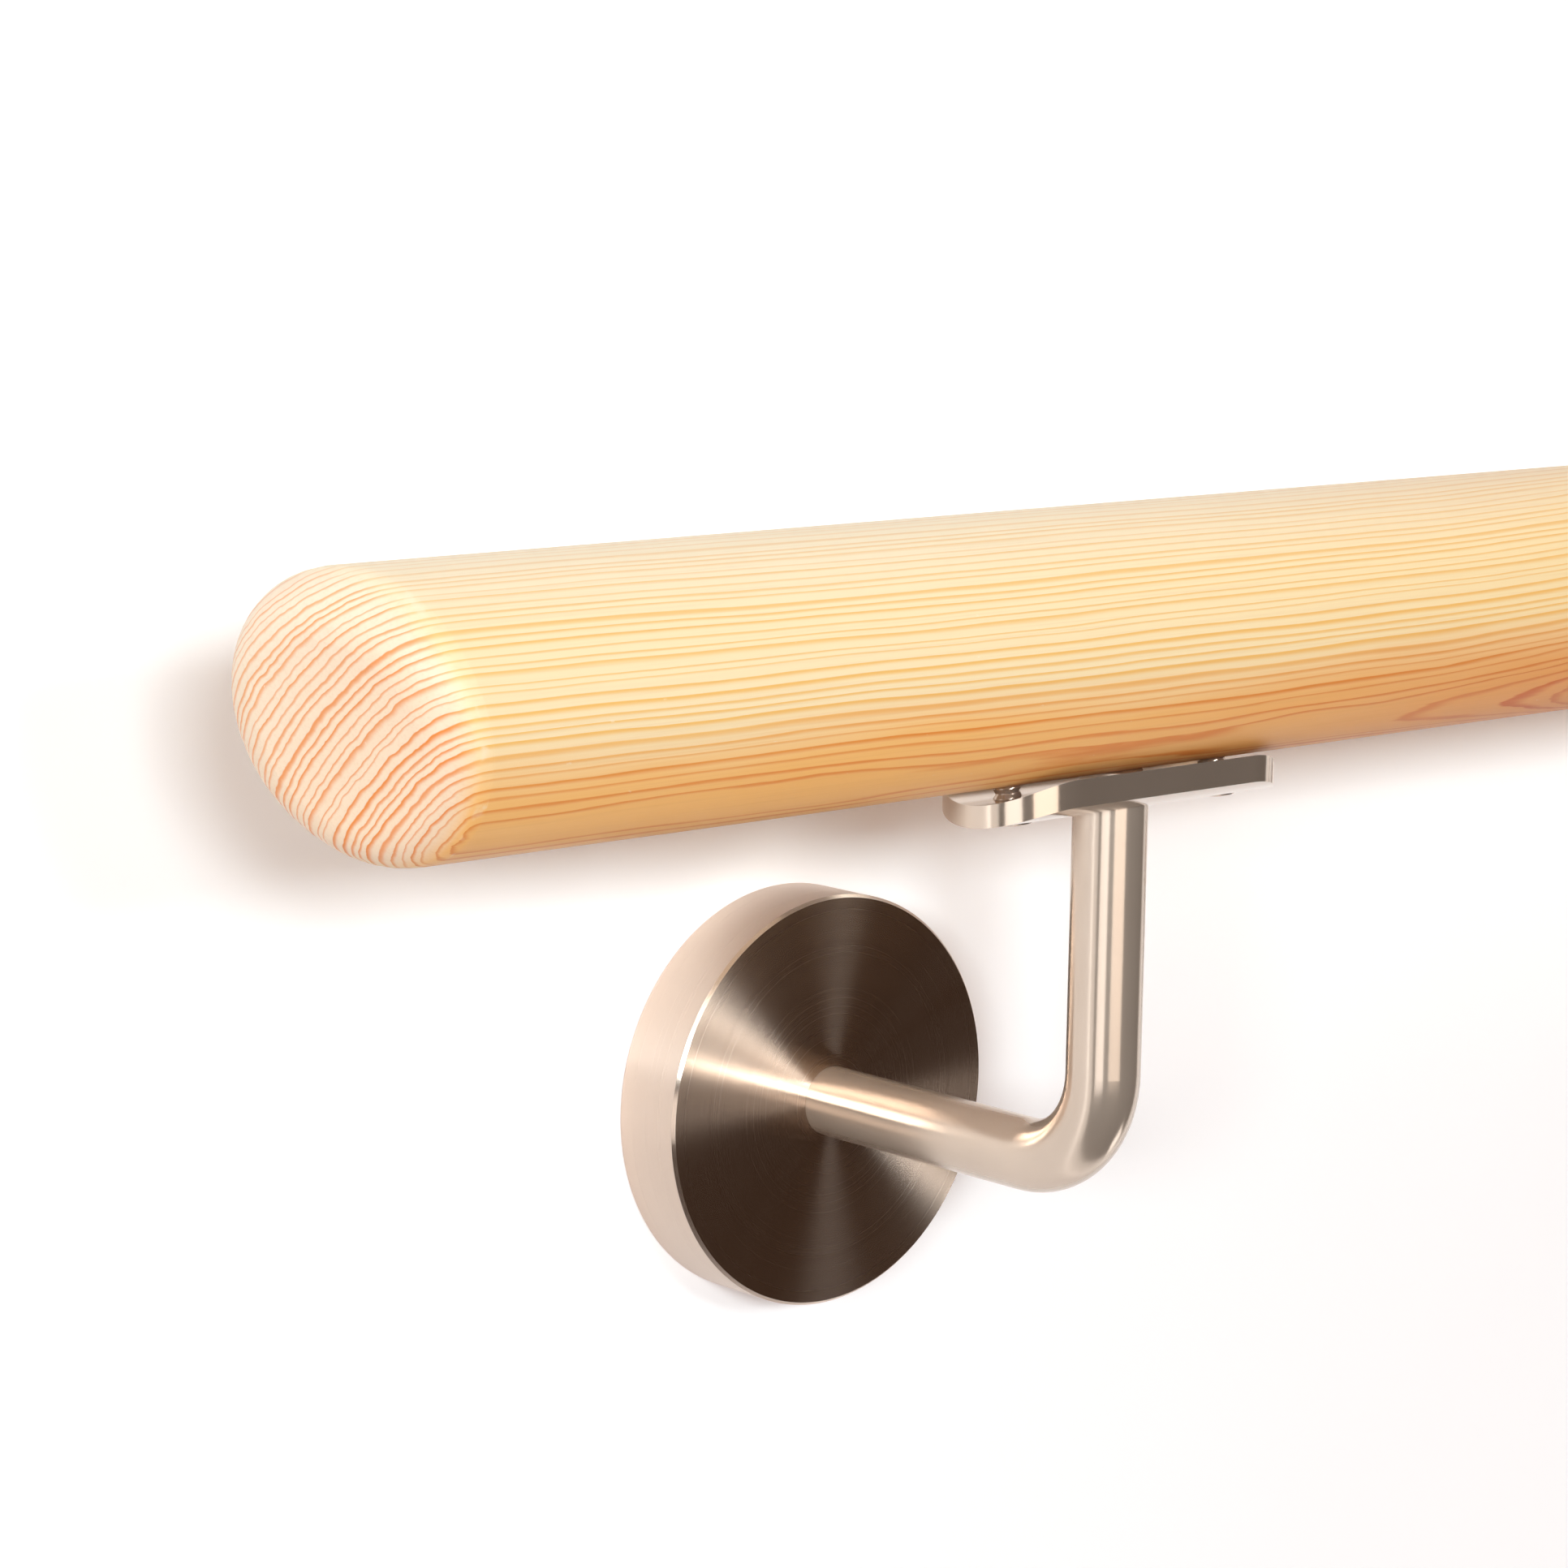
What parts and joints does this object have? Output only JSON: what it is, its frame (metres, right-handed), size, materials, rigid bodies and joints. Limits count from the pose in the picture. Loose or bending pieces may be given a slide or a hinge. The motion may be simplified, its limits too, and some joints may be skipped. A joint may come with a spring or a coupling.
{
  "type": "stair handrail length",
  "caption": "Round wooden stair handrail with slanted, rounded ends, carried on bent steel rod brackets with curved saddle plates and round rosettes that fix to a wall beside steps.",
  "frame": {"origin": "on the wall plane, under the middle of the whole part's box", "axes": "+X along the rail, +Y up the wall when fitted, +Z out of the wall (up as stored)"},
  "size_m": [0.6, 0.143, 0.098],
  "materials": {
    "rail_wood": "clear lacquer, satin",
    "satin_steel": "stainless steel, fine brushed",
    "screw_steel": "stainless steel, plain"
  },
  "bodies": {
    "root": {"handrail": "rail_wood", "wall_rosette_left": "satin_steel", "bracket_rod_left": "satin_steel", "saddle_plate_left": "satin_steel", "rod_screw_left": "screw_steel", "wall_rosette_right": "satin_steel", "bracket_rod_right": "satin_steel", "saddle_plate_right": "satin_steel", "rod_screw_right": "screw_steel"}
  },
  "joints": []
}
